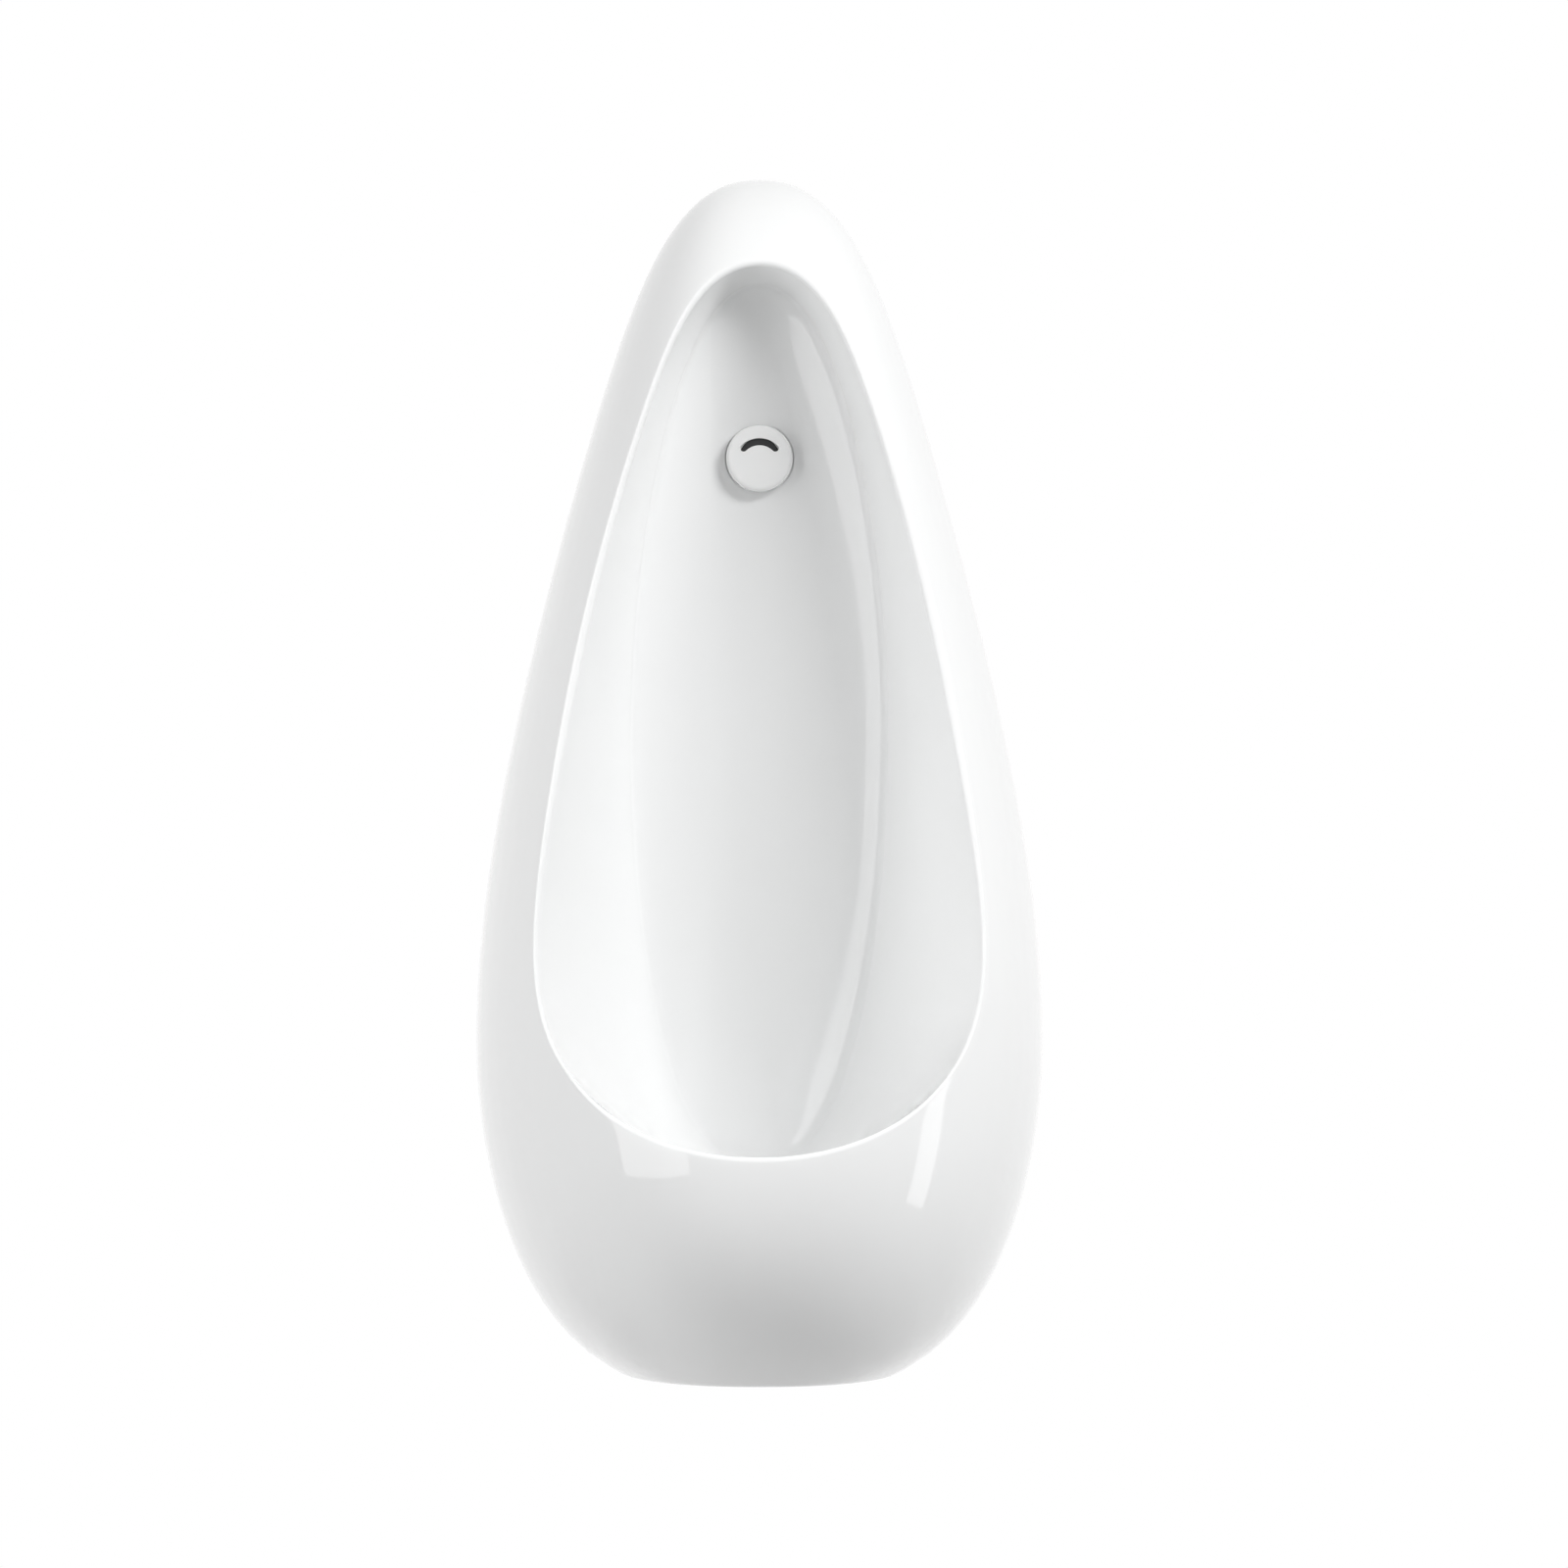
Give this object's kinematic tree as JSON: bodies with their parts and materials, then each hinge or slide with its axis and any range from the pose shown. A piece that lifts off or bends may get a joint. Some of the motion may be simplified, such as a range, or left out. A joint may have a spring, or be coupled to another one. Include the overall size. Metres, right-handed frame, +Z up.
{
  "type": "wall hung urinal",
  "caption": "Egg-shaped wall hung china urinal with a tall open bowl, round flush spreader, lift-out strainer, concealed bottle trap and wall hooks.",
  "frame": {"origin": "on the wall plane and the centreline, at the height of the two wall hooks, 585 mm above the base edge", "axes": "+Z up, front of the bowl facing -Y, +Y into the wall, +X to the right of somebody who faces the bowl"},
  "size_m": [0.3334, 0.3114, 0.7],
  "materials": {
    "glazed_china": "gloss",
    "white_cap": "gloss",
    "black_plastic": "matte",
    "trap_plastic": "satin",
    "rubber": "matte",
    "fibre": "matte",
    "brass": "machined",
    "stainless": "brushed",
    "plated_steel": "zinc plated"
  },
  "bodies": {
    "bowl": {"china_bowl": "glazed_china", "china_shell": "glazed_china", "china_flange": "glazed_china", "spreader_body": "black_plastic", "spreader_seal": "rubber", "spreader_gasket": "rubber", "spreader_washer": "plated_steel", "spreader_backnut": "brass", "inlet_washer": "fibre", "inlet_coupling": "brass", "waste_flange": "stainless", "waste_flange_seal": "rubber", "waste_gasket": "rubber", "waste_washer": "fibre", "waste_backnut": "brass", "trap_inlet_nut": "trap_plastic", "trap_inlet_washer": "rubber", "trap_dip_tube": "trap_plastic", "trap_body": "trap_plastic", "trap_outlet_nut": "trap_plastic", "trap_outlet_washer": "rubber", "trap_outlet_tube": "trap_plastic", "outlet_socket": "rubber", "hanger_left": "plated_steel", "hanger_right": "plated_steel", "hanger_pad_left": "black_plastic", "hanger_pad_right": "black_plastic", "fixing_sleeve_left": "black_plastic", "fixing_sleeve_right": "black_plastic"},
    "strainer": {"waste_strainer": "stainless"},
    "cap_ring": {"spreader_cap_ring": "rubber"},
    "cap": {"spreader_cap": "white_cap"},
    "cup_seal": {"trap_cup_seal": "rubber"},
    "cup": {"trap_cup": "trap_plastic"}
  },
  "joints": [
    {"name": "strainer_lift", "type": "slide", "parent": "bowl", "child": "strainer", "axis": [0, 0, 1], "range_m": [0, 0.06]},
    {"name": "cap_travel", "type": "slide", "parent": "bowl", "child": "cap_ring", "axis": [0, -1, 0], "range_m": [0, 0.00301]},
    {"name": "cap_turn", "type": "hinge", "parent": "cap_ring", "child": "cap", "pos_m": [0, -0.058, -0.051], "axis": [0, -1, 0], "range_deg": [0, 720]},
    {"name": "cup_travel", "type": "slide", "parent": "bowl", "child": "cup_seal", "axis": [0, 0, -1], "range_m": [0, 0.00751]},
    {"name": "cup_turn", "type": "hinge", "parent": "cup_seal", "child": "cup", "pos_m": [0, -0.15, -0.565], "axis": [0, 0, -1], "range_deg": [0, 900]}
  ],
  "couplings": [
    {"joint": "cap_travel", "follows": "cap_turn", "m_per_rad": 0.00023873},
    {"joint": "cup_travel", "follows": "cup_turn", "m_per_rad": 0.00047746}
  ]
}
